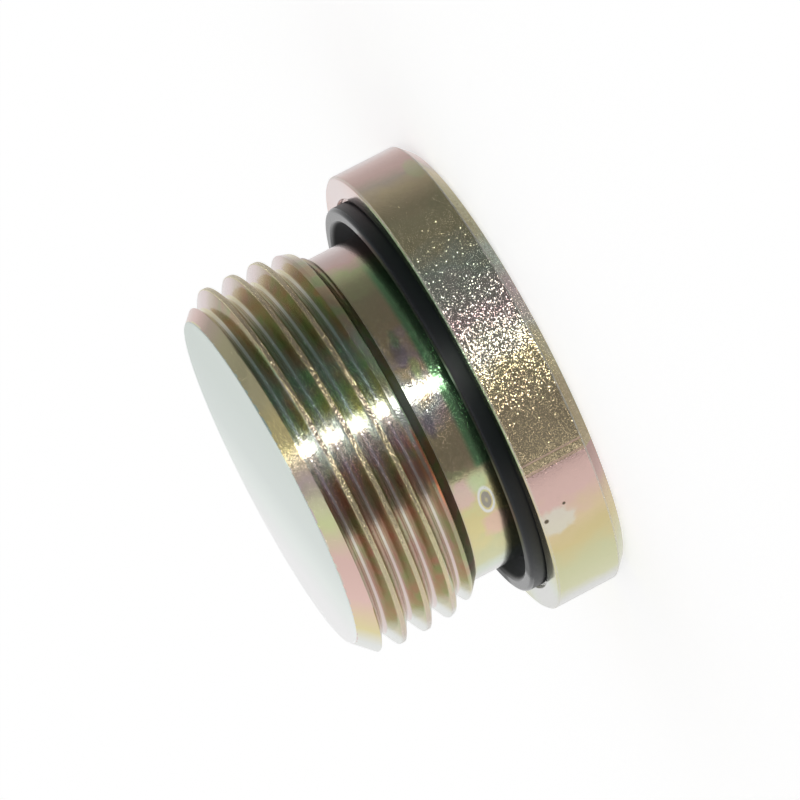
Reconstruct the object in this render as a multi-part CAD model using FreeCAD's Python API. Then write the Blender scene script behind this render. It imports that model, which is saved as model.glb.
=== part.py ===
# Hydraulic blanking screw plug for a 1 inch parallel pipe thread port, with a soft seal.
#
# Units are millimetres. The plug stands on its head: the outer face of the head lies on z = 0,
# the axis is +Z, and the threaded end points up. The origin is the centre of that outer face.
# Two pieces are made: the turned and threaded steel body, and the moulded sealing ring.

import FreeCAD
import Part
import math
import os

from FreeCAD import Vector

# Thread: parallel pipe thread, 11 turns to the inch, right hand
thread_major_diameter = 33.249
thread_pitch = 2.309
thread_flank_angle = 55.0
thread_length = 7.9
first_crest_drop = 0.18

# Free end of the stud
stud_length = 16.0
end_face_relief = 0.25
end_edge_bevel = 0.15
lead_in_angle = 45.0

# Run-out cone and shoulder between the last full turn and the plain neck
run_out_length = 2.28
run_out_drop = 0.69
shoulder_angle = 50.0
neck_relief = 0.32

# Sealing ring, which sits in a shallow seat in the underside of the head
seal_width = 2.77
seal_stand_proud = 1.3
seal_front_width = 0.85
seal_front_bevel = 0.25
seal_heel_height = 0.6
seal_neck_clearance = 0.05
seat_depth = 0.5
seat_clearance = 0.3

# Head, reaching past the seal seat by the width of its metal land
head_thickness = 6.5
head_land_width = 2.0
head_land_bevel = 0.2
head_rim_chamfer = 0.9

# Hexagon socket in the outer face of the head
socket_across_flats = 17.0
socket_depth = 9.0
socket_mouth_rim = 0.3
socket_mouth_angle = 45.0
drill_point_angle = 118.0
drill_to_flat_gap = 0.2

# Thread section: sharp triangle height, cut off by a sixth at the crest and at the root
half_flank_angle = math.radians(thread_flank_angle / 2)
sharp_height = thread_pitch / (2 * math.tan(half_flank_angle))
major_radius = thread_major_diameter / 2
root_radius = major_radius - sharp_height * 2 / 3

# Radii that follow from the thread outwards
neck_radius = root_radius - neck_relief
end_face_radius = root_radius - end_face_relief
seal_inner_radius = neck_radius + seal_neck_clearance
seal_outer_radius = seal_inner_radius + seal_width
seat_radius = seal_outer_radius + seat_clearance
head_radius = seat_radius + head_land_width

# Heights along the axis
seat_floor_z = head_thickness - seat_depth
end_z = head_thickness + stud_length
run_out_top_z = end_z - thread_length
run_out_bottom_z = run_out_top_z - run_out_length
shoulder_radius = major_radius - run_out_drop
shoulder_rise = (shoulder_radius - neck_radius) / math.tan(math.radians(shoulder_angle))
neck_top_z = run_out_bottom_z - shoulder_rise
lead_in_rise = (major_radius - end_face_radius) / math.tan(math.radians(lead_in_angle))
lead_in_length = lead_in_rise + end_edge_bevel

# How far a cutter reaches past the face that it opens, in millimetres and in turns
cut_overshoot = 0.15
run_past_turns = 0.6


def profile_wire(points):
    """Close a list of (radius, height) points into a wire in the XZ plane."""
    corners = [Vector(radius, 0, height) for radius, height in points]
    return Part.makePolygon(corners + corners[:1])


def revolved(points):
    """Turn a closed (radius, height) outline about the axis."""
    return Part.Face(profile_wire(points)).revolve(Vector(0, 0, 0), Vector(0, 0, 1), 360)


def blank():
    """Turned blank: head, seal seat, neck, run-out cone, thread cylinder and lead-in chamfer."""
    return revolved([
        (0, 0),
        (head_radius - head_rim_chamfer, 0),
        (head_radius, head_rim_chamfer),
        (head_radius, head_thickness - head_land_bevel),
        (head_radius - head_land_bevel, head_thickness),
        (seat_radius, head_thickness),
        (seat_radius, seat_floor_z),
        (neck_radius, seat_floor_z),
        (neck_radius, neck_top_z),
        (shoulder_radius, run_out_bottom_z),
        (major_radius, run_out_top_z),
        (major_radius, end_z - lead_in_length),
        (end_face_radius, end_z - end_edge_bevel),
        (end_face_radius - end_edge_bevel, end_z),
        (0, end_z),
    ])


def thread_groove():
    """Helical cutter with a flat root, from above the end face down to the plain neck."""
    mouth_radius = major_radius + cut_overshoot
    sharp_root_radius = root_radius - sharp_height / 6
    root_half_width = (root_radius - sharp_root_radius) * math.tan(half_flank_angle)
    mouth_half_width = (mouth_radius - sharp_root_radius) * math.tan(half_flank_angle)

    bottom_z = neck_top_z - run_past_turns * thread_pitch
    top_z = end_z + run_past_turns * thread_pitch
    section = profile_wire([
        (root_radius, bottom_z - root_half_width),
        (root_radius, bottom_z + root_half_width),
        (mouth_radius, bottom_z + mouth_half_width),
        (mouth_radius, bottom_z - mouth_half_width),
    ])
    path = Part.makeLongHelix(thread_pitch, top_z - bottom_z, major_radius, 0)
    path.translate(Vector(0, 0, bottom_z))
    groove = path.makePipeShell([section], True, True)

    # A crest lies on the +X side at this height, with the groove half a turn's pitch under it.
    groove_z = end_z - first_crest_drop - thread_pitch / 2
    start_angle = 360 * (bottom_z - groove_z) / thread_pitch
    groove.rotate(Vector(0, 0, 0), Vector(0, 0, 1), start_angle)
    return groove


def socket():
    """Hexagon socket with a bevelled mouth and the cone that the drill leaves at its bottom."""
    corner_radius = socket_across_flats / math.sqrt(3)
    corners = []
    for step in range(6):
        angle = math.radians(60 * step)
        x = corner_radius * math.cos(angle)
        y = corner_radius * math.sin(angle)
        corners.append(Vector(x, y, -cut_overshoot))
    hexagon = Part.Face(Part.makePolygon(corners + corners[:1]))
    prism = hexagon.extrude(Vector(0, 0, cut_overshoot + socket_depth))

    mouth_radius = corner_radius + socket_mouth_rim
    mouth_reach = mouth_radius / math.tan(math.radians(socket_mouth_angle))
    mouth = revolved([(0, 0), (mouth_radius, 0), (0, mouth_reach)])

    drill_radius = socket_across_flats / 2 - drill_to_flat_gap
    point_height = drill_radius / math.tan(math.radians(drill_point_angle / 2))
    drill = revolved([
        (0, 0),
        (drill_radius, 0),
        (drill_radius, socket_depth),
        (0, socket_depth + point_height),
    ])
    return prism.fuse([mouth, drill])


def plug_body():
    return blank().cut(thread_groove()).cut(socket())


def seal_ring():
    """Moulded ring: flat back, upright outer wall, narrow front lip and a dished inner side."""
    front_z = head_thickness + seal_stand_proud
    lip_outer_radius = seal_outer_radius - seal_front_bevel
    return revolved([
        (seal_inner_radius, seat_floor_z),
        (seal_outer_radius, seat_floor_z),
        (seal_outer_radius, front_z - seal_front_bevel),
        (lip_outer_radius, front_z),
        (lip_outer_radius - seal_front_width, front_z),
        (seal_inner_radius, seat_floor_z + seal_heel_height),
    ])


os.makedirs("parts", exist_ok=True)
pieces = {
    "plug_body": plug_body(),
    "seal_ring": seal_ring(),
}
for name, shape in pieces.items():
    solid = shape.Solids[0]
    solid.exportStep("parts/" + name + ".step")
    print(name, "solids", len(shape.Solids), "valid", shape.isValid(), "faces", len(solid.Faces),
          "volume in mm3", round(solid.Volume, 1))
print("head diameter", round(2 * head_radius, 2), "neck diameter", round(2 * neck_radius, 2),
      "overall height", round(end_z, 2))
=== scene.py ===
# %% [markdown]
# # Threaded port plug
#
# The object is a screw plug for a hydraulic port: a turned steel body with a round head and a pipe
# thread, plated with zinc and dipped in a yellow chromate bath, and a black rubber ring under the head.
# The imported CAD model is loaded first. It fixes every size, and it stands on its head with its axis on Z.

import math

import bmesh
import bpy
from mathutils import Matrix, Vector


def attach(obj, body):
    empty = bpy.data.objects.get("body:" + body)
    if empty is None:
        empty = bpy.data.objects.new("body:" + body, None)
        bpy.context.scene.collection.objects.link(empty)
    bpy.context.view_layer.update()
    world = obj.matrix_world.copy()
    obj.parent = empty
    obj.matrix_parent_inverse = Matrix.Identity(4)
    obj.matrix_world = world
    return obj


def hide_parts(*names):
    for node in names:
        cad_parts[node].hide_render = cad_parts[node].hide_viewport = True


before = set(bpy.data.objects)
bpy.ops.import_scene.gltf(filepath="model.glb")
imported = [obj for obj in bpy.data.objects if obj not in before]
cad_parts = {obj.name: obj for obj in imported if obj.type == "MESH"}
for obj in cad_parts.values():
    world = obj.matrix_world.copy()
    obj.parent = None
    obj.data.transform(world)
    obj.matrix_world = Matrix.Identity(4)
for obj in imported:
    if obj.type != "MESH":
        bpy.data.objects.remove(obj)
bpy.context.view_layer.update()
mm = 0.001

# %% [markdown]
# ## Sizes
#
# All sizes are in millimetres, as on a drawing, and they repeat the CAD model's own values. A pipe
# thread has flanks at 55 degrees, and its roots are rounded by a fixed share of the pitch.

# %% Sizes of the turned body
end_z = 22.5
end_edge_bevel = 0.15
head_top_z = 6.5
seat_floor_z = 6.0
head_radius = 19.946
head_chamfer = 0.9
head_edge_bevel = 0.2
seat_radius = 17.946
neck_radius = 14.826
neck_top_z = 11.39
run_out_bottom_z = 12.32
run_out_top_z = 14.6
shoulder_radius = 15.9345
shoulder_angle = math.radians(50)

thread_major_radius = 33.249 / 2
thread_pitch = 2.309
thread_half_angle = math.radians(27.5)
sharp_height = thread_pitch / (2 * math.tan(thread_half_angle))
thread_root_radius = thread_major_radius - sharp_height * 2 / 3
rounding_share = 0.1373
rounding_radius = rounding_share * thread_pitch
first_crest_drop = 0.18
first_crest_z = end_z - first_crest_drop

lead_in_angle = math.radians(45)
lead_in_top_z = end_z - end_edge_bevel
end_face_relief = 0.25
end_face_radius = thread_root_radius - end_face_relief
print("thread depth", round(thread_major_radius - thread_root_radius, 3), "mm")

# %% [markdown]
# ## Node helper
#
# A node tree is easier to read as arithmetic than as a list of links. `Wire` wraps one output socket,
# so `wire * 2 + 1` adds the two Math nodes that do that sum, and `wire["X"]` is another output of the
# same node. `Tree.node` adds any other node: it sets the node up first and then fills its sockets. The
# same helper writes geometry trees, materials and the world.

# %% Arithmetic on sockets
class Wire:
    """One output socket of a node tree, which can be used in sums."""

    def __init__(self, tree, socket):
        self.tree = tree
        self.socket = socket

    def __getitem__(self, name):
        """Another output of the same node."""
        return Wire(self.tree, self.socket.node.outputs[name])

    def math(self, operation, *others):
        return self.tree.math(operation, self, *others)

    def __add__(self, other):
        return self.math("ADD", other)

    __radd__ = __add__

    def __sub__(self, other):
        return self.math("SUBTRACT", other)

    def __rsub__(self, other):
        return self.tree.math("SUBTRACT", other, self)

    def __mul__(self, other):
        return self.math("MULTIPLY", other)

    __rmul__ = __mul__

    def __truediv__(self, other):
        return self.math("DIVIDE", other)


class Tree:
    """A node tree that is filled by calls, for geometry, a material or the world."""

    def __init__(self, block):
        self.block = block

    def feed(self, slot, value):
        """Link a wire to an input socket, or set the socket's own value."""
        if isinstance(value, Wire):
            self.block.links.new(value.socket, slot)
        elif slot.type == "RGBA":
            slot.default_value = (*value, 1)
        else:
            slot.default_value = value

    def node(self, kind, settings=None, values=None, output=0):
        """Add a node with its settings and sockets, and return one of its outputs."""
        node = self.block.nodes.new(kind)
        for name, value in (settings or {}).items():
            if name == "stops":
                set_stops(node.color_ramp, value)
            else:
                setattr(node, name, value)
        for name, value in (values or {}).items():
            self.feed(node.inputs[name], value)
        return Wire(self, node.outputs[output]) if len(node.outputs) > 0 else None

    def math(self, operation, *values):
        """A Math node on wires and numbers."""
        return self.node("ShaderNodeMath", {"operation": operation}, dict(enumerate(values)))


def set_stops(colours, stops):
    """Give a colour ramp its (position, colour) stops."""
    while len(colours.elements) > 1:
        colours.elements.remove(colours.elements[-1])
    for index, (position, colour) in enumerate(stops):
        element = colours.elements[0] if index == 0 else colours.elements.new(position)
        element.position = position
        element.color = (*colour, 1)


trial = Tree(bpy.data.node_groups.new("trial", "ShaderNodeTree"))
answer = 1 - trial.node("ShaderNodeValue") * 2
print("1 - value * 2 makes the nodes", [node.name for node in answer.tree.block.nodes])
bpy.data.node_groups.remove(trial.block)

# %% [markdown]
# ## Threaded stud
#
# On the real plug a die or a single-point tool cuts the thread, so its section is the same all the way
# and only climbs as it turns. That is a rule, so Geometry Nodes write it. A flat grid is rolled into a
# helix: each column is an angle, and each row is one place on the thread's section. Rows that follow
# the helix keep crests and roots crisp with few faces.

# %% Thread tree: inputs and grid
stud_nodes = bpy.data.node_groups.new("threaded_stud", "GeometryNodeTree")
stud_sizes = {
    "Major Radius": thread_major_radius,
    "Root Radius": thread_root_radius,
    "Pitch": thread_pitch,
    "Rounding Radius": rounding_radius,
    "First Crest Height": first_crest_z,
    "Stud Bottom": neck_top_z,
    "Stud Top": lead_in_top_z,
    "Neck Radius": neck_radius,
    "End Face Radius": end_face_radius,
}
for name in stud_sizes:
    stud_nodes.interface.new_socket(name, in_out="INPUT", socket_type="NodeSocketFloat")
stud_nodes.interface.new_socket("Finish", in_out="INPUT", socket_type="NodeSocketMaterial")
stud_nodes.interface.new_socket("Geometry", in_out="OUTPUT", socket_type="NodeSocketGeometry")

columns = 300
rows_per_turn = 26
turns = 7
stud = Tree(stud_nodes)
size = stud.node("NodeGroupInput")
grid = stud.node("GeometryNodeMeshGrid", values={
    "Size X": 1.0, "Size Y": float(turns),
    "Vertices X": columns + 1, "Vertices Y": rows_per_turn * turns + 1})
print("grid of", columns, "columns and", rows_per_turn * turns, "rows")

# %% [markdown]
# ## Section of the thread
#
# The tool that cuts the groove is a wedge with a round tip. So the rule needs one number, how far a
# point lies from the nearest crest along the axis. A straight line makes the flank from it, an arc
# rounds the root, and a smooth minimum caps the flanks with a flat crest.

# %% Thread tree: the section's rule
turns_above_crest = 0.5
place = stud.node("ShaderNodeSeparateXYZ", values={0: stud.node("GeometryNodeInputPosition")})
turn = place["X"] + 0.5
row = place["Y"] - turns / 2 + turns_above_crest

free_height = size["First Crest Height"] + size["Pitch"] * (row + turn)
height = free_height.math("MINIMUM", size["Stud Top"]).math("MAXIMUM", size["Stud Bottom"])
section_row = (height - size["First Crest Height"]) / size["Pitch"] - turn
above_crest = (section_row + 0.5).math("FRACT") - 0.5
off_crest = above_crest.math("ABSOLUTE") * size["Pitch"]

flank_slope = 1 / math.tan(thread_half_angle)
flank = size["Major Radius"] + sharp_height / 6 - off_crest * flank_slope
arc = size["Rounding Radius"]
arc_share = math.cos(thread_half_angle)
off_root = size["Pitch"] / 2 - off_crest
root_rise = arc - (arc * arc - off_root * off_root).math("MAXIMUM", 0.0).math("SQRT")
root = size["Root Radius"] + root_rise
in_root = off_root.math("LESS_THAN", arc * arc_share)

crest_blend = 0.15
section = flank + in_root * (root - flank)
section = section.math("SMOOTH_MIN", size["Major Radius"], crest_blend)
print("flat of the crest", round(sharp_height / 3 / flank_slope, 2), "mm")

# %% [markdown]
# ## Cones at both ends of the thread
#
# The bar is turned before it is threaded. A chamfer leads into the thread, and at its other end the
# crests run out on a cone above a shoulder. Each of them is a limit that the section may not pass, so
# each one is another smooth minimum. Every point also keeps three numbers for the plating: how near it
# is to the crest, how much a cone has cut off there, and whether it lies on the upper flank.

# %% Thread tree: cones that limit it, and the rolled grid
edge_blend = 0.10
above_bottom = height - size["Stud Bottom"]
shoulder = size["Neck Radius"] + above_bottom * math.tan(shoulder_angle)
run_out_rise = (thread_major_radius - shoulder_radius) / (run_out_top_z - run_out_bottom_z)
run_out = shoulder_radius + (height - run_out_bottom_z) * run_out_rise
lead_in = size["End Face Radius"] + (size["Stud Top"] - height) * math.tan(lead_in_angle)
radius = section
for limit in (shoulder, run_out, lead_in):
    radius = radius.math("SMOOTH_MIN", limit, edge_blend)

angle = turn * (2 * math.pi)
rolled = stud.node("ShaderNodeCombineXYZ", values={
    "X": radius * angle.math("COSINE") * mm,
    "Y": radius * angle.math("SINE") * mm,
    "Z": height * mm})

kept_numbers = {
    "crest_share": (radius - size["Root Radius"]) / (size["Major Radius"] - size["Root Radius"]),
    "clipped_share": section - radius,
    "upper_flank": above_crest.math("GREATER_THAN", 0.0),
}
shape = grid
for name, value in kept_numbers.items():
    shape = stud.node("GeometryNodeStoreNamedAttribute", {"data_type": "FLOAT", "domain": "POINT"}, {
        "Geometry": shape, "Name": name, "Value": value})
shape = stud.node("GeometryNodeSetPosition", values={"Geometry": shape, "Position": rolled})
shape = stud.node("GeometryNodeMergeByDistance", values={"Geometry": shape, "Distance": 0.002 * mm})
shape = stud.node("GeometryNodeRealizeInstances", values={"Geometry": shape})
shape = stud.node("GeometryNodeSetMaterial", values={"Geometry": shape, "Material": size["Finish"]})
stud.node("NodeGroupOutput", values={"Geometry": shape})
print("nodes in the thread's tree", len(stud_nodes.nodes))

# %% [markdown]
# ## Rounded outlines
#
# A lathe makes the rest: head, seal seat, neck and end face. Its outline is a list of corners, each as
# a radius, a height and the small arc that a tool or the plating leaves there. `rounded_outline` puts
# those arcs in, because an edge without one never catches the light as a real edge does.

# %% Rounded outline
def rounded_outline(corners, steps=5):
    """(radius, height) points of an outline whose corners (radius, height, arc radius) are rounded."""
    points = []
    for index, (radius, height, arc) in enumerate(corners):
        here = Vector((radius, height))
        if arc == 0 or index in (0, len(corners) - 1):
            points.append(here)
            continue
        before = (Vector(corners[index - 1][:2]) - here).normalized()
        after = (Vector(corners[index + 1][:2]) - here).normalized()
        half_angle = before.angle(after) / 2
        reach = arc / math.tan(half_angle)
        centre = here + (before + after).normalized() * arc / math.sin(half_angle)
        start = here + before * reach - centre
        finish = here + after * reach - centre
        for step in range(steps + 1):
            blend = start.lerp(finish, step / steps).normalized() * arc
            points.append(centre + blend)
    return points


one_corner = rounded_outline([(1, 0, 0), (2, 0, 0.5), (2, 1, 0)])
print("points on a rounded corner", len(one_corner) - 2)

# %% [markdown]
# ## Turned bands
#
# On a lathe the bar spins against the tool. Here the outline is spun: each of its points becomes a ring
# of vertices, and quads join each ring to the next. The rings have as many columns as the thread's grid,
# so the two can be merged. A ring can also bulge out to a hexagon's walls, for the key's socket.

# %% Rings and bands
hexagon_half_angle = math.pi / 6


def add_ring(mesh, radius, height, corner_radius=None):
    """A ring of vertices at a height. With a corner radius it bulges out to a hexagon's walls."""
    ring = []
    for column in range(columns):
        angle = 2 * math.pi * column / columns
        reach = radius
        if corner_radius:
            off_flat = angle % (2 * hexagon_half_angle) - hexagon_half_angle
            reach = max(radius, corner_radius * math.cos(hexagon_half_angle) / math.cos(off_flat))
        place = (reach * math.cos(angle) * mm, reach * math.sin(angle) * mm, height * mm)
        ring.append(mesh.verts.new(place))
    return ring


def bridge(mesh, rings):
    """Quads between each ring and the next."""
    for lower, upper in zip(rings, rings[1:]):
        for column in range(columns):
            beside = (column + 1) % columns
            mesh.faces.new((lower[column], lower[beside], upper[beside], upper[column]))


def turn_outline(mesh, outline):
    """Spin an outline's points into rings joined by quads."""
    rings = [add_ring(mesh, point.x, point.y) for point in outline]
    bridge(mesh, rings)
    return rings


print("one column is", round(2 * math.pi * thread_major_radius / columns, 2), "mm wide on the crest")

# %% [markdown]
# ## Head, seal seat and neck
#
# The head is a disc with a chamfered rim. Under it lies a shallow seat that the rubber ring sits in,
# and a neck joins it to the thread. The seat's inner corner and the neck's ends keep the tool's radius.
# Long straight stretches are cut into shorter steps, so that no quad is drawn out.

# %% Head and neck
def subdivided(points, longest):
    """The same outline with no step longer than `longest`."""
    result = [points[0]]
    for start, finish in zip(points, points[1:]):
        pieces = max(1, math.ceil((finish - start).length / longest))
        result += [start.lerp(finish, (piece + 1) / pieces) for piece in range(pieces)]
    return result


clear_of_socket = 11.0
rim_arc = 0.12
edge_arc = 0.08
seat_arc = 0.10
neck_arc = 0.20

body_mesh = bmesh.new()
head_outline = rounded_outline([
    (clear_of_socket, 0, 0),
    (head_radius - head_chamfer, 0, rim_arc),
    (head_radius, head_chamfer, rim_arc),
    (head_radius, head_top_z - head_edge_bevel, edge_arc),
    (head_radius - head_edge_bevel, head_top_z, edge_arc),
    (seat_radius, head_top_z, edge_arc),
    (seat_radius, seat_floor_z, seat_arc),
    (neck_radius, seat_floor_z, neck_arc),
    (neck_radius, neck_top_z, 0),
])
head_rings = turn_outline(body_mesh, subdivided(head_outline, 0.6))
print("head rings", len(head_rings))

# %% [markdown]
# ## End face
#
# The free end is faced flat on the lathe, down to the axis, with a small bevel at its edge. `cap` closes
# a ring with smaller and smaller rings and one point, so that the face has no long thin triangles.

# %% End face
def cap(mesh, ring, steps, height_of):
    """Close a ring with smaller rings and a point on the axis."""
    outer = max(vertex.co.xy.length for vertex in ring) / mm
    rings = [ring]
    for step in range(1, steps):
        radius = outer * (1 - step / steps)
        rings.append(add_ring(mesh, radius, height_of(radius)))
    bridge(mesh, rings)
    last = rings[-1]
    centre = mesh.verts.new((0, 0, height_of(0) * mm))
    for column in range(columns):
        mesh.faces.new((last[column], last[(column + 1) % columns], centre))


cap_steps = 8
end_outline = rounded_outline([
    (end_face_radius, lead_in_top_z, 0),
    (end_face_radius - end_edge_bevel, end_z, 0.05),
    (end_face_radius - 1.0, end_z, 0),
])
end_rings = turn_outline(body_mesh, end_outline)
cap(body_mesh, end_rings[-1], cap_steps, lambda radius: end_z)
print("end face rings", len(end_rings) + cap_steps - 1)

# %% [markdown]
# ## Hexagon socket
#
# The outer face of the head, which the photograph doesn't show, has the socket for a hexagon key. Such a
# socket is drilled, broached and then countersunk. Each ring takes the larger of the key's hexagon and
# the countersink at its height, so the bevel's scalloped edge appears by itself.

# %% Hexagon socket
socket_flat_radius = 8.5
socket_corner_radius = socket_flat_radius / math.cos(hexagon_half_angle)
socket_mouth_radius = socket_corner_radius + 0.3
socket_depth = 9.0
drill_radius = 8.3
drill_slope = 1 / math.tan(math.radians(59))


def drill_cone(radius):
    """Height of the cone that the drill leaves."""
    return socket_depth + (drill_radius - radius) * drill_slope


mouth_steps = 12
wall_steps = 8
mouth_drop = socket_mouth_radius - socket_flat_radius
wall_drop = socket_depth - mouth_drop
heights = [mouth_drop * step / mouth_steps for step in range(mouth_steps + 1)]
heights += [mouth_drop + wall_drop * step / wall_steps for step in range(1, wall_steps + 1)]
socket_rings = [head_rings[0]]
for height in heights:
    socket_rings.append(add_ring(body_mesh, socket_mouth_radius - height, height, socket_corner_radius))
socket_rings.append(add_ring(body_mesh, drill_radius, socket_depth))
bridge(body_mesh, socket_rings)
cap(body_mesh, socket_rings[-1], cap_steps, drill_cone)
print("socket rings", len(socket_rings))

# %% [markdown]
# ## Stud as a mesh
#
# The geometry tree runs on a throwaway object. Its inputs get the drawing's sizes, and a plain copy of
# the evaluated mesh is kept, with the three numbers that the plating needs.

# %% Run the thread's tree
def run_tree(name, tree, values):
    """A plain mesh from a geometry tree whose named inputs are given."""
    holder = bpy.data.objects.new(name, bpy.data.meshes.new(name))
    bpy.context.scene.collection.objects.link(holder)
    modifier = holder.modifiers.new(name, "NODES")
    modifier.node_group = tree
    for item in tree.interface.items_tree:
        if item.in_out == "INPUT":
            modifier[item.identifier] = values[item.name]
    graph = bpy.context.evaluated_depsgraph_get()
    made = bpy.data.meshes.new_from_object(holder.evaluated_get(graph))
    bpy.data.objects.remove(holder)
    return made


plated_steel = bpy.data.materials.new("plated_steel")
stud_mesh = run_tree("threaded_stud", stud_nodes, {**stud_sizes, "Finish": plated_steel})
print("stud vertices", len(stud_mesh.vertices), "faces", len(stud_mesh.polygons))

# %% [markdown]
# ## One body from two meshes
#
# The real body is one piece of steel with no seam, so the stud is added to the turned part and their
# shared rings are merged. Edges where faces meet at over 30 degrees stay sharp, and all else is smooth.

# %% Join stud and turned part
def merge_close(mesh, reach):
    """Merge vertices that lie on each other, turn the faces outwards and count the open edges."""
    bmesh.ops.remove_doubles(mesh, verts=mesh.verts, dist=reach)
    bmesh.ops.recalc_face_normals(mesh, faces=mesh.faces)
    return sum(1 for edge in mesh.edges if len(edge.link_faces) != 2)


def finished(name, mesh, material, sharp_degrees=30):
    """A smooth-shaded object at the origin, with its sharp edges kept."""
    for edge in mesh.edges:
        if len(edge.link_faces) == 2:
            edge.smooth = edge.calc_face_angle(0) < math.radians(sharp_degrees)
    for face in mesh.faces:
        face.smooth = True
        face.material_index = 0
    data = bpy.data.meshes.new(name)
    mesh.to_mesh(data)
    mesh.free()
    data.materials.clear()
    data.materials.append(material)
    piece = bpy.data.objects.new(name, data)
    bpy.context.scene.collection.objects.link(piece)
    print(name, "has", sum(len(face.vertices) - 2 for face in data.polygons), "triangles")
    return piece


for name in kept_numbers:
    body_mesh.verts.layers.float.new(name)
body_mesh.from_mesh(stud_mesh)
print("open edges of the body", merge_close(body_mesh, 0.004 * mm))
plug = finished("screw_plug", body_mesh, plated_steel)

# %% [markdown]
# ## Sealing ring
#
# The ring is moulded rubber with an upright back, a narrow rounded front lip and a dished inner side, so
# that pressure spreads its lip. It is turned from a rounded outline like the head, and its corners have
# the small radii of a mould.

# %% Sealing ring
seal_outer_radius = seat_radius - 0.3
seal_inner_radius = neck_radius + 0.05
seal_front_z = head_top_z + 1.3
seal_lip_width = 1.0
seal_heel_height = 0.6
mid_back = (seal_outer_radius - 1.5, seat_floor_z, 0)

seal_outline = rounded_outline([
    mid_back,
    (seal_outer_radius, seat_floor_z, 0.25),
    (seal_outer_radius, seal_front_z, 0.30),
    (seal_outer_radius - seal_lip_width, seal_front_z, 0.22),
    (seal_inner_radius + 0.30, seat_floor_z + seal_heel_height + 0.15, 0.5),
    (seal_inner_radius, seat_floor_z + seal_heel_height, 0.1),
    (seal_inner_radius, seat_floor_z, 0.1),
    mid_back,
], steps=6)
ring_mesh = bmesh.new()
seal_rings = turn_outline(ring_mesh, subdivided(seal_outline, 0.25))
print("seal rings", len(seal_rings))
print("open edges of the ring", merge_close(ring_mesh, 0.002 * mm))
black_rubber = bpy.data.materials.new("black_rubber")
seal = finished("sealing_ring", ring_mesh, black_rubber, 60)

# %% [markdown]
# ## Plated steel
#
# Zinc plating with a yellow chromate film is a bright metal under a very thin clear layer. Where the
# layer is thicker or thinner it tints the reflection another way, from straw to rose, purple, teal and
# green. So the shader is metallic, and it mirrors the room in a tint that depends on the place. Each
# point's place is worked out first: its height, its distance from the axis, and its side of the plug.

# %% Plated steel: where a point lies
def shading_of(owner):
    """An empty node tree on a material or on the world."""
    owner.use_nodes = True
    owner.node_tree.nodes.clear()
    return Tree(owner.node_tree)


def whereabouts(tree):
    """A point's place in mm, its x, y and z, its distance from the axis, and its side from -1 to 1."""
    place = tree.node("ShaderNodeVectorMath", {"operation": "SCALE"}, {
        0: tree.node("ShaderNodeTexCoord", output="Object"), "Scale": 1 / mm})
    xyz = tree.node("ShaderNodeSeparateXYZ", values={0: place})
    off_axis = (xyz["X"] * xyz["X"] + xyz["Y"] * xyz["Y"]).math("SQRT")
    return place, xyz, off_axis, xyz["X"] / off_axis


steel = shading_of(plated_steel)
place_mm, xyz, off_axis, across = whereabouts(steel)
x, y, z = [xyz[name] for name in "XYZ"]
print("nodes that find a point's place", len(steel.block.nodes))

# %% [markdown]
# ## Masks and tints
#
# The finish is built from masks, numbers from 0 to 1 that say where something is, and from colours that
# the masks mix. These small helpers write both: a soft step up or down, cloudy noise, a colour ramp and
# a mix of two colours.

# %% Masks and tints
def step_up(value, start, finish):
    """0 below `start`, 1 above `finish`, smooth between."""
    return value.tree.node("ShaderNodeMapRange", {"interpolation_type": "SMOOTHSTEP"}, {
        "Value": value, "From Min": start, "From Max": finish, "To Min": 0.0, "To Max": 1.0})


def step_down(value, start, finish):
    """1 below `start`, 0 above `finish`, smooth between."""
    return 1 - step_up(value, start, finish)


def noise(vector, scale, detail=2.0, roughness=0.5):
    """Cloudy values round 0.5."""
    return vector.tree.node("ShaderNodeTexNoise", values={
        "Vector": vector, "Scale": scale, "Detail": detail, "Roughness": roughness})


def ramp(factor, stops):
    """Colour ramp from (position, colour) stops."""
    return factor.tree.node("ShaderNodeValToRGB", {"stops": stops}, {"Fac": factor})


def mixed(factor, first, second, blend="MIX"):
    """Two colours mixed by a factor."""
    return factor.tree.node("ShaderNodeMix", {"data_type": "RGBA", "blend_type": blend}, {
        0: factor, 6: first, 7: second}, output=2)


def grey(level):
    return (level, level, level)


print("a grey of 0.5 is", grey(0.5))

# %% [markdown]
# ## Palette of the film
#
# A film as thin as this has no colour of its own: its thickness decides which part of the light is lost.
# A short palette of named colours holds the tints that the plug shows, and all the zones share it.

# %% Plated steel: palette
pearl = (0.79, 0.81, 0.77)
lime = (0.72, 0.76, 0.42)
straw = (0.80, 0.70, 0.36)
apricot = (0.84, 0.67, 0.42)
rose = (0.86, 0.60, 0.54)
blush = (0.85, 0.69, 0.67)
khaki = (0.78, 0.65, 0.42)
olive = (0.70, 0.64, 0.40)
umber = (0.61, 0.49, 0.39)
plum = (0.74, 0.61, 0.57)
clay = (0.68, 0.57, 0.46)
sage = (0.66, 0.72, 0.60)
gold = (0.87, 0.77, 0.48)
champagne = (0.84, 0.80, 0.67)
bronze = (0.55, 0.42, 0.31)
moss = (0.57, 0.53, 0.33)
silver = (0.70, 0.70, 0.67)
citron = (0.66, 0.66, 0.40)
amber = (0.75, 0.63, 0.33)
fern = (0.60, 0.55, 0.34)
peat = (0.53, 0.46, 0.28)
teal = (0.56, 0.70, 0.62)
violet = (0.74, 0.62, 0.66)
print("from pearl", pearl, "to peat", peat)
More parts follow.
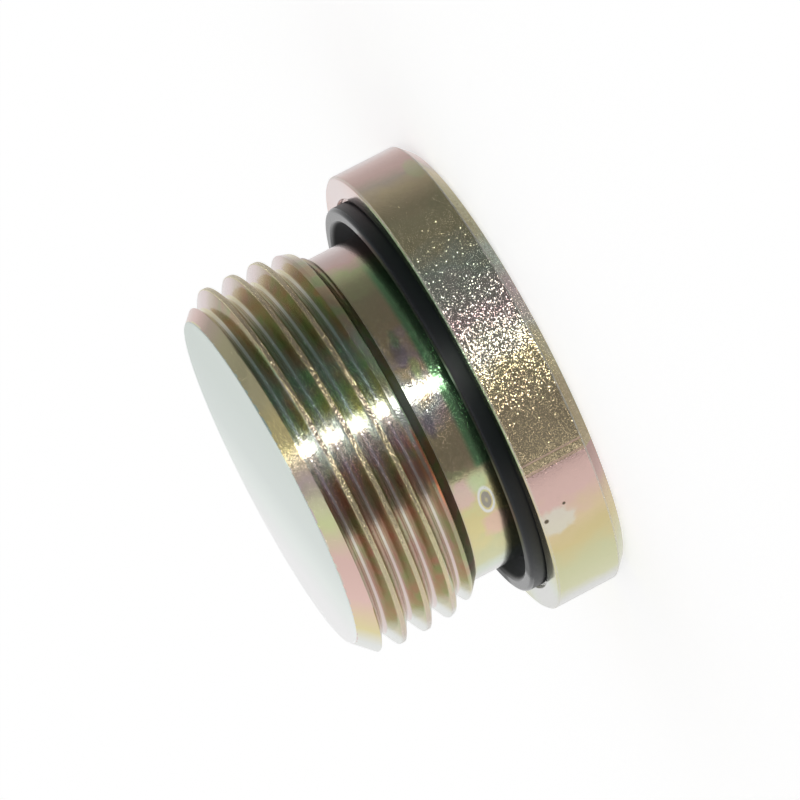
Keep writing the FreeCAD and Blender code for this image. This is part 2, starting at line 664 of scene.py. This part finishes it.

# %% [markdown]
# ## Film tints round the axis
#
# The bath drains round the part, so the film changes more with the side than with the height. Ramps
# place the tints in bands round the axis, noise makes the bands wander, and on the head one edge of the
# film is sharp. The pale stops a few degrees from the camera's side, where the strip is mirrored, are a
# painted highlight laid into the film's colour.

# %% Plated steel: film tints round the axis
def tints(stops, wander=0.08, patch_scale=0.4):
    """Ramp of tints by angle. The camera's side is 0 degrees, +X is 90, and the far side mirrors it."""
    drift = (noise(place_mm, patch_scale) - 0.5) * (1 - across * across) * (2 * wander)
    placed = [(math.sin(math.radians(angle)) * 0.5 + 0.5, colour) for angle, colour in stops]
    return ramp(across * 0.5 + 0.5 + drift, placed)


filmed = step_down(across, -0.460, -0.450)
filmed_tint = tints([
    (-86, silver), (-78, silver), (-71, citron), (-60, citron), (-50, amber), (-42, apricot), (-35, rose),
    (-26, rose),
], 0.10, 0.3)
# Painted highlight: the pearl and champagne stops between -2 and 6 degrees, the head's gold at -2 and the
# lead-in's straw from 6 to 14 degrees brighten the colour where the strip is mirrored.
bare_tint = tints([
    (-30, khaki), (-10, khaki), (-2, gold), (6, champagne), (14, blush), (26, sage), (34, olive),
    (44, olive), (54, khaki), (60, clay), (66, rose), (76, rose), (83, blush),
], 0.10, 0.3)
head_tint = mixed(filmed, bare_tint, filmed_tint)
neck_tint = tints([
    (-82, silver), (-74, sage), (-66, citron), (-52, straw), (-40, straw), (-31, lime), (-24, khaki),
    (-8, khaki), (-2, plum), (4, pearl), (12, khaki), (18, plum), (26, khaki), (44, olive), (54, lime),
    (62, rose), (76, blush),
], 0.16, 0.45)
upper_tint = tints([
    (-81, pearl), (-73, fern), (-60, peat), (-52, peat), (-44, bronze), (-26, bronze), (-16, umber),
    (-8, plum), (0, pearl), (5, pearl), (11, citron), (22, sage), (34, moss), (50, moss), (58, peat),
    (68, bronze), (74, clay), (82, blush),
])
lower_tint = tints([
    (-82, pearl), (-74, fern), (-60, clay), (-28, clay), (-12, khaki), (0, pearl), (5, pearl),
    (11, citron), (22, sage), (34, moss), (62, fern), (70, clay), (80, gold),
])
crest_tint = tints([
    (-82, pearl), (-72, clay), (-58, khaki), (-40, olive), (-24, gold), (-6, gold), (4, champagne),
    (14, gold), (30, gold), (50, khaki), (76, gold),
])
root_tint = tints([
    (-76, plum), (-44, plum), (-30, champagne), (-18, plum), (-6, violet), (4, champagne), (14, teal),
    (34, teal), (46, sage), (58, champagne), (76, gold),
])
lead_tint = tints([
    (-80, pearl), (-66, straw), (-48, rose), (-32, rose), (-18, lime), (-4, plum), (6, straw), (14, straw),
    (26, olive), (36, moss), (50, moss), (62, umber), (76, rose),
], 0.04)
print("nodes with the tints round the axis", len(steel.block.nodes))

# %% [markdown]
# ## Zones along the plug
#
# Crests, flanks and roots hold the film differently, and so do the head, the neck and the end face. The
# numbers that the thread's tree stored on its points tell crest from root, and heights tell the rest.
# The outer face and the socket aren't in the photograph, so they get a zone of their own.

# %% Plated steel: zones
def from_mesh(name):
    """A number that is stored on the mesh."""
    return steel.node("ShaderNodeAttribute", {"attribute_name": name}, output="Fac")


crest_share = from_mesh("crest_share")
on_head = step_down(z, 6.3, 6.6)
on_stud = step_up(z, 11.2, 11.5)
on_neck = (1 - on_stud) * (1 - on_head)
on_crest = step_up(crest_share, 0.92, 0.97) * on_stud
on_crest_middle = step_up(crest_share, 0.990, 0.998) * on_stud
in_groove_root = step_down(crest_share, 0.05, 0.13) * step_up(z, 13.0, 13.2)
on_end_cone = step_up(from_mesh("clipped_share"), 0.02, 0.06) * step_up(z, 18.0, 19.0)
on_end_face = step_up(z, 22.40, 22.48)
in_socket = step_down(off_axis, 10.7, 11.2) * step_down(z, 14.0, 15.0)
outer_face = (in_socket + step_down(z, 0.02, 0.08)).math("MINIMUM", 1.0)
print("nodes with the zones", len(steel.block.nodes))

# %% [markdown]
# ## Tint of every zone
#
# The thread's flanks are mottled with patches, except beside the row of highlights and at the outline.
# The neck is green in a band beside the seal. The end face is pale, and it is painted lighter towards
# the bright sheet's side as a painted reflection. The hidden outer face has calm patches of the same
# colours. Then the zones are laid over each other.

# %% Plated steel: tint of every zone
patches = (noise(place_mm, 0.55, 1.0) - 0.5) * 3 + 0.5
patch_tint = ramp(patches, [(0.2, (0.82, 1.0, 0.84)), (0.5, grey(0.95)), (0.8, (1.0, 0.85, 0.87))])
off_highlight = step_up((across - 0.07).math("ABSOLUTE"), 0.08, 0.25)
off_highlight = off_highlight * step_down(across.math("ABSOLUTE"), 0.88, 0.96)
flank_tint = mixed(from_mesh("upper_flank"), lower_tint, upper_tint)
flank_tint = mixed(on_stud * off_highlight, flank_tint, patch_tint, "MULTIPLY")

# The neck is tinted green from the seal up to about 9 mm, over part of its round.
beside_seal = step_down(z, 8.5, 9.1) * step_up(across, -0.46, -0.42) * step_down(across, 0.70, 0.90)
neck_tint = mixed(beside_seal * 0.9, neck_tint, (0.30, 0.64, 0.32))

end_face_width = 28
# Painted reflection: the end face's colour grows lighter towards the side that faces the bright sheet.
sheen_toward_sheet = (y * 0.6 - x * 0.8) / end_face_width + 0.5
end_face_tint_and_sheen = ramp(sheen_toward_sheet, [
    (0.2, (0.67, 0.75, 0.70)), (0.5, (0.74, 0.81, 0.77)), (0.7, (0.88, 0.94, 0.90)), (0.9, (1.0, 1.0, 1.0))])
outer_tint = ramp(noise(place_mm, 0.06, 1.0), [
    (0.32, sage), (0.46, khaki), (0.56, champagne), (0.70, blush)])

steel_tint = mixed(on_head, neck_tint, mixed(outer_face, head_tint, outer_tint))
for zone, tint in (
    (on_stud, flank_tint), (in_socket, outer_tint), (in_groove_root, root_tint), (on_crest, crest_tint),
    (on_crest_middle * 0.35, umber), (on_end_cone, lead_tint), (on_end_face, end_face_tint_and_sheen),
):
    steel_tint = mixed(zone, steel_tint, tint)
print("nodes with the tint of every zone", len(steel.block.nodes))

# %% [markdown]
# ## Stains
#
# The bath leaves green, rose and dark stains on the neck, and a faint one on the head. Each stain is a
# mask round one place on the surface, with a ragged edge from noise. Its row gives the radius, the angle
# and the height of that place, how far heights are stretched, the stain's reach, its colour and its share.

# %% Stains
ragged = (noise(place_mm, 1.4, 3.0) - 0.5) * 1.2


def distance_from(radius, angle, height, stretch=1.0):
    """Distance from a place on the turned surface, with heights stretched."""
    turned = math.radians(angle)
    place = (radius * math.sin(turned), -radius * math.cos(turned), height)
    offset = steel.node("ShaderNodeVectorMath", {"operation": "SUBTRACT"}, {0: place_mm, 1: place})
    scaled = steel.node("ShaderNodeVectorMath", {"operation": "MULTIPLY"}, {0: offset, 1: (1, 1, stretch)})
    return steel.node("ShaderNodeVectorMath", {"operation": "LENGTH"}, {0: scaled}, output="Value")


stains = [
    (head_radius, 60, 1.5, 2.4, 1.8, (0.70, 0.72, 0.44), 0.6),
    (neck_radius, -7, 10.8, 2.0, 0.9, (0.46, 0.40, 0.50), 0.6),
    (neck_radius, 17, 10.2, 1.8, 1.1, (0.46, 0.40, 0.50), 0.6),
    (neck_radius, 11, 9.6, 2.4, 0.9, (0.66, 0.74, 0.36), 0.8),
    (neck_radius, 22, 10.0, 2.6, 0.8, (0.40, 0.60, 0.36), 0.7),
    (neck_radius, -33, 10.7, 1.2, 1.3, (0.86, 0.60, 0.58), 0.75),
    (neck_radius, -49, 8.7, 1.2, 1.4, (0.86, 0.58, 0.50), 0.75),
    (neck_radius, -31, 9.2, 1.2, 0.9, (0.66, 0.78, 0.46), 0.7),
]
for radius, angle, height, stretch, reach, colour, share in stains:
    stain = step_down(distance_from(radius, angle, height, stretch) + ragged, reach - 0.5, reach + 0.5)
    steel_tint = mixed(stain * share, steel_tint, colour)
print("stains", len(stains))

# %% [markdown]
# ## Run, drop, pits and scratches
#
# Plated parts drip as they dry and knock together in the basket. The head has a pale run, two pits and a
# pair of fine scratches, and a dried drop with a light rim sits on the neck. A red line follows the end
# of the thread, where the film is thinnest. They are masks of the same kind, but with closer edges.

# %% Run, drop, pits and scratches
run = step_down(distance_from(head_radius, -42, 5.2, 0.8) + ragged, 0.9, 1.7)
steel_tint = mixed(run * 0.8, steel_tint, (0.85, 0.82, 0.70))

drop = distance_from(neck_radius, -38.5, 9.0, 2.0) + ragged * 0.15
drop_rim = step_down(drop, 1.25, 1.55) * step_up(drop, 0.95, 1.15)
drop_inside = step_down(drop, 0.75, 0.95) * (step_up(drop + ragged * 0.4, 0.1, 0.5) * 0.5 + 0.4)
steel_tint = mixed(drop_rim * 0.9, steel_tint, (0.90, 0.91, 0.88))
steel_tint = mixed(drop_inside, steel_tint, (0.37, 0.35, 0.32))

off_pits = step_up(distance_from(head_radius, -40.6, 6.05), 0.12, 0.28)
off_pits = off_pits * step_up(distance_from(head_radius, -38, 4.2), 0.08, 0.2)
steel_tint = mixed(1 - off_pits, steel_tint, (0.16, 0.13, 0.09))

near_side = y.math("LESS_THAN", 0.0)
scratches = 0
for angle in (-26.7, -24.2):
    off_line = (across - math.sin(math.radians(angle))).math("ABSOLUTE") + ragged * 0.0004
    scratches = step_down(off_line, 0.0025, 0.0055) + scratches
scratches = scratches * on_head * near_side * step_up(z, 0.95, 1.05)
steel_tint = mixed(scratches * 0.8, steel_tint, (0.98, 0.66, 0.50))

red_line = step_up(z, 12.30, 12.38) * step_down(z, 12.46, 12.62) * near_side
red_line = red_line * step_up(across, -0.55, -0.42) * step_down(across, -0.14, -0.05)
steel_tint = mixed(red_line, steel_tint, (0.95, 0.36, 0.20))
print("nodes with the marks", len(steel.block.nodes))

# %% [markdown]
# ## Rubbed edges
#
# The head's two edges stand out, so handling rubs the colour off them and leaves a pale, duller line. It
# isn't even, so noise breaks it up.

# %% Rubbed edges
edge_wear = step_down((z - 0.92).math("ABSOLUTE"), 0.03, 0.12) + step_up(z, 6.28, 6.36) * on_head
edge_wear = (edge_wear * on_head * step_up(off_axis, 19.0, 19.3)).math("MINIMUM", 1.0)
edge_wear = edge_wear * (0.5 + ragged).math("MINIMUM", 0.7).math("MAXIMUM", 0.0)
steel_tint = mixed(edge_wear, steel_tint, (0.92, 0.88, 0.76))
print("nodes with the rubbed edges", len(steel.block.nodes))

# %% [markdown]
# ## Crystals
#
# Zinc grows in crystals, and each one leans its own way. Voronoi cells stand for them: every cell gets
# a random lean, and the bump height rises along it. Most cells lean a little and a few lean far, so
# single cells catch the bright strip and the head sparkles.

# %% Plated steel: crystals
crystals_per_mm = 14.0
crystals = steel.node("ShaderNodeTexVoronoi", values={"Vector": place_mm, "Scale": crystals_per_mm})
from_centre = steel.node("ShaderNodeVectorMath", {"operation": "SUBTRACT"}, {
    0: place_mm, 1: crystals["Position"]})
lean = steel.node("ShaderNodeVectorMath", {"operation": "SUBTRACT"}, {
    0: crystals["Color"], 1: (0.5, 0.5, 0.5)})
steepness = steel.node("ShaderNodeVectorMath", {"operation": "LENGTH"}, {0: lean}, output="Value")
facet = steel.node("ShaderNodeVectorMath", {"operation": "DOT_PRODUCT"}, {
    0: from_centre, 1: lean}, output="Value")
facet = facet * (steepness.math("POWER", 4.0) * 3.3 + 0.26)

grain_by_side = ramp(across * 0.5 + 0.5, [
    (0.0, grey(0.03)), (0.269, grey(0.03)), (0.276, grey(0.60)), (0.29, grey(0.40)), (0.36, grey(0.50)),
    (0.44, grey(1.0)), (0.76, grey(1.0)), (0.82, grey(0.6)), (0.86, grey(0.1)), (1.0, grey(0.02)),
])
facet_share = (on_head + on_crest * 0.6 + on_neck * 0.09 + on_stud * 0.06) * grain_by_side + on_crest * 0.4
facet_share = facet_share + on_stud * 0.01 + 0.05
facet_share = facet_share * (1 - on_end_face * 0.95) * (1 - outer_face) + outer_face * 0.15
print("crystals to the millimetre", crystals_per_mm)

# %% [markdown]
# ## Fine grain and gloss
#
# Tool marks follow the turning, so their noise is stretched round the axis, and soft ripples lie under
# the plating. The plating is glossy all over. It is duller on the shoulder, where the bath drained
# slowly, and on the end face and the rubbed edges.

# %% Plated steel: fine grain and gloss
turning_place = steel.node("ShaderNodeCombineXYZ", values={"X": off_axis, "Y": z, "Z": across * 0.6})
turning = noise(turning_place, 14.0, 3.0)
ripples = noise(place_mm, 7.0, 1.0, 0.6)
surface_height = turning * 0.0010 + ripples * (on_head * 0.0040 + 0.0018) + facet * facet_share

on_shoulder = step_up(z, 11.38, 11.44) * step_down(z, 12.24, 12.34)
steel_gloss = on_crest * 0.08 + on_head * filmed * 0.05 + on_end_face * 0.18 + edge_wear * 0.2 + 0.11
steel_gloss = steel_gloss + on_shoulder * 0.30


def shade(tree, height, values):
    """A Principled shader with a bump of a height in millimetres, on the material's output."""
    bump = tree.node("ShaderNodeBump", values={"Height": height, "Strength": 1.0, "Distance": mm})
    shader = tree.node("ShaderNodeBsdfPrincipled", values={**values, "Normal": bump})
    tree.node("ShaderNodeOutputMaterial", values={"Surface": shader})


shade(steel, surface_height, {
    "Base Color": steel_tint,
    "Metallic": 1 - edge_wear * 0.6 - scratches * 0.4,
    "Roughness": steel_gloss,
})
print("nodes in the plating", len(steel.block.nodes))

# %% [markdown]
# ## Black rubber
#
# Moulded rubber is satin black. A fine grain in roughness and bump keeps it from looking like paint,
# the lip is polished on two sides of the ring, and the hollow behind it stays dull.

# %% Black rubber
rubber = shading_of(black_rubber)
rubber_mm, rubber_xyz, rubber_off_axis, rubber_across = whereabouts(rubber)
polished = step_up(rubber_across, 0.80, 0.90) + step_down(rubber_across, -0.97, -0.94)
on_lip = step_up(rubber_off_axis, 16.4, 16.7) * step_up(rubber_xyz["Z"], 7.45, 7.6) * polished
in_hollow = step_down(rubber_off_axis, 16.2, 16.5)
mould_grain = noise(rubber_mm, 3.0, 3.0)
shade(rubber, mould_grain * 0.004, {
    "Base Color": (0.010, 0.013, 0.017),
    "Specular IOR Level": 0.4,
    "Roughness": (mould_grain - 0.5) * 0.12 + in_hollow * 0.46 - on_lip * 0.28 + 0.40,
})
print("nodes in the rubber", len(rubber.block.nodes))

# %% [markdown]
# ## Ride on the frame
#
# Both meshes stand for the CAD nodes of the same pieces, which hold the facts and the collisions.

# %% Place the pieces on the frame
for piece, node, slot in ((plug, "plug_body", "plated_steel"), (seal, "seal_ring", "seal_rubber")):
    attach(piece, "root")
    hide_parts(node)
    print(piece.name, "stands for", node)

# %% [markdown]
# ## Floor
#
# The plug stands on its head on a pale floor that glows a little, so that it is plain white to the
# camera. Mirrors don't see it: the plating reflects the room alone.

# %% Floor
reach = 3.0
floor_mesh = bpy.data.meshes.new("floor")
floor_corners = [(-reach, -reach, 0), (reach, -reach, 0), (reach, reach, 0), (-reach, reach, 0)]
floor_mesh.from_pydata(floor_corners, [], [(0, 1, 2, 3)])
floor = bpy.data.objects.new("floor", floor_mesh)
bpy.context.scene.collection.objects.link(floor)

floor_paint = bpy.data.materials.new("floor_paint")
paint = shading_of(floor_paint)
matte = paint.node("ShaderNodeBsdfDiffuse", values={"Color": grey(0.8)})
glow = paint.node("ShaderNodeEmission", values={"Color": grey(1), "Strength": 0.6})
glowing = paint.node("ShaderNodeAddShader", values={0: matte, 1: glow})
ray = paint.node("ShaderNodeLightPath")
seen = ray["Is Camera Ray"] + ray["Is Glossy Ray"] + ray["Is Transmission Ray"]
surface = paint.node("ShaderNodeMixShader", values={0: seen.math("MINIMUM", 1.0), 1: matte, 2: glowing})
paint.node("ShaderNodeOutputMaterial", values={"Surface": surface})
floor_mesh.materials.append(floor_paint)
floor.visible_glossy = False
print("floor", 2 * reach, "m wide")

# %% [markdown]
# ## Camera
#
# The photograph was taken from beside the plug with the camera rolled, so the axis runs down to the
# left. A long lens keeps the far edges nearly parallel. The camera stands 586 mm away on the -Y side,
# and three turns aim it: a roll about its own axis, a tilt down and a small turn about Z.

# %% Camera
roll = math.radians(-117.48)
tilt = math.radians(8.6663)
turn_aside = math.radians(-0.109)

camera = bpy.data.objects.new("camera", bpy.data.cameras.new("camera"))
bpy.context.scene.collection.objects.link(camera)
camera.data.sensor_width = 36
camera.data.lens = 325.3
camera.data.clip_start = 0.01
camera.data.clip_end = 10
place = Matrix.Translation(Vector((0, -586.4, 99.1)) * mm)
aim = Matrix.Rotation(turn_aside, 4, "Z") @ Matrix.Rotation(math.pi / 2 - tilt, 4, "X")
camera.matrix_world = place @ aim @ Matrix.Rotation(roll, 4, "Z")
bpy.context.scene.camera = camera
print("lens", round(camera.data.lens, 1), "mm")

# %% [markdown]
# ## Light
#
# Metal shows the room around it, so the room is what has to be lit. One half of it is a bright sheet
# behind the plug, and the other half is dark, with an upright edge between them. A narrow bright strip
# stands beside the camera: it makes the row of highlights on the thread and the dots on the head. All of
# it is a world that depends on direction alone, and matte surfaces get a plain even sky instead.

# %% World: the sheet behind the plug
world = bpy.data.worlds.new("studio")
bpy.context.scene.world = world
sky = shading_of(world)
toward = sky.node("ShaderNodeSeparateXYZ", values={0: sky.node("ShaderNodeTexCoord", output="Generated")})

sheet_turn = math.radians(35.6)
behind = toward["Y"] * math.cos(sheet_turn) - toward["X"] * math.sin(sheet_turn)
left_sheet = ramp(behind * 0.5 + 0.5, [
    (0.0, grey(0.15)), (0.47, grey(0.15)), (0.49, grey(0.24)), (0.515, grey(0.68)),
    (0.56, grey(0.73)), (0.75, grey(0.76)), (1.0, grey(0.90)),
])
right_sheet = ramp(behind * 0.5 + 0.5, [
    (0.0, grey(0.11)), (0.15, grey(0.14)), (0.27, grey(0.18)), (0.35, grey(0.30)), (0.475, grey(0.46)),
    (0.62, grey(0.52)), (0.75, grey(0.70)), (0.9, grey(0.86)), (1.0, grey(0.90)),
])
sheet = mixed(step_up(toward["X"], -0.25, -0.05), left_sheet, right_sheet)
off_ground = step_up(toward["Z"], -1.05, -0.60)
sheet = mixed(off_ground, grey(0.30), sheet)
print("the sheet is turned", round(math.degrees(sheet_turn), 1), "degrees")

# %% [markdown]
# ## Strip and even sky
#
# The strip is far brighter than the sheet, as a lamp's tube is, and it leans a little. The Light Path
# node then sorts the rays: a mirrored ray sees the sheet and the strip, the camera sees white, and matte
# surfaces are lit by an even grey.

# %% World: the strip and the even sky
strip_lean = 0.07
strip_side = 0.0694
strip_strength = 13.0
off_strip = (toward["X"] + toward["Y"] * strip_lean - strip_side).math("ABSOLUTE")
strip = step_down(off_strip, 0.01, 0.05) * step_down(toward["Y"], 0.45, 0.75)
strip = strip * (1 - step_up(toward["Z"], 0.88, 0.96) * 0.85) * step_up(toward["Z"], -0.8, -0.5)


def light(colour, strength):
    return sky.node("ShaderNodeBackground", values={"Color": colour, "Strength": strength})


room = sky.node("ShaderNodeAddShader", values={
    0: light(sheet, 1.0), 1: light((1, 0.99, 0.95), strip * strip_strength)})
sky_ray = sky.node("ShaderNodeLightPath")
look = sky.node("ShaderNodeMixShader", values={0: sky_ray["Is Glossy Ray"], 1: light(grey(1), 0.5), 2: room})
look = sky.node("ShaderNodeMixShader", values={0: sky_ray["Is Camera Ray"], 1: look, 2: light(grey(1), 1.0)})
sky.node("ShaderNodeOutputWorld", values={"Surface": look})
print("nodes in the world", len(sky.block.nodes))

# %% [markdown]
# ## Finish
#
# The view transform is set to Standard.

# %% Finish
scene = bpy.context.scene
scene.view_settings.view_transform = "Standard"
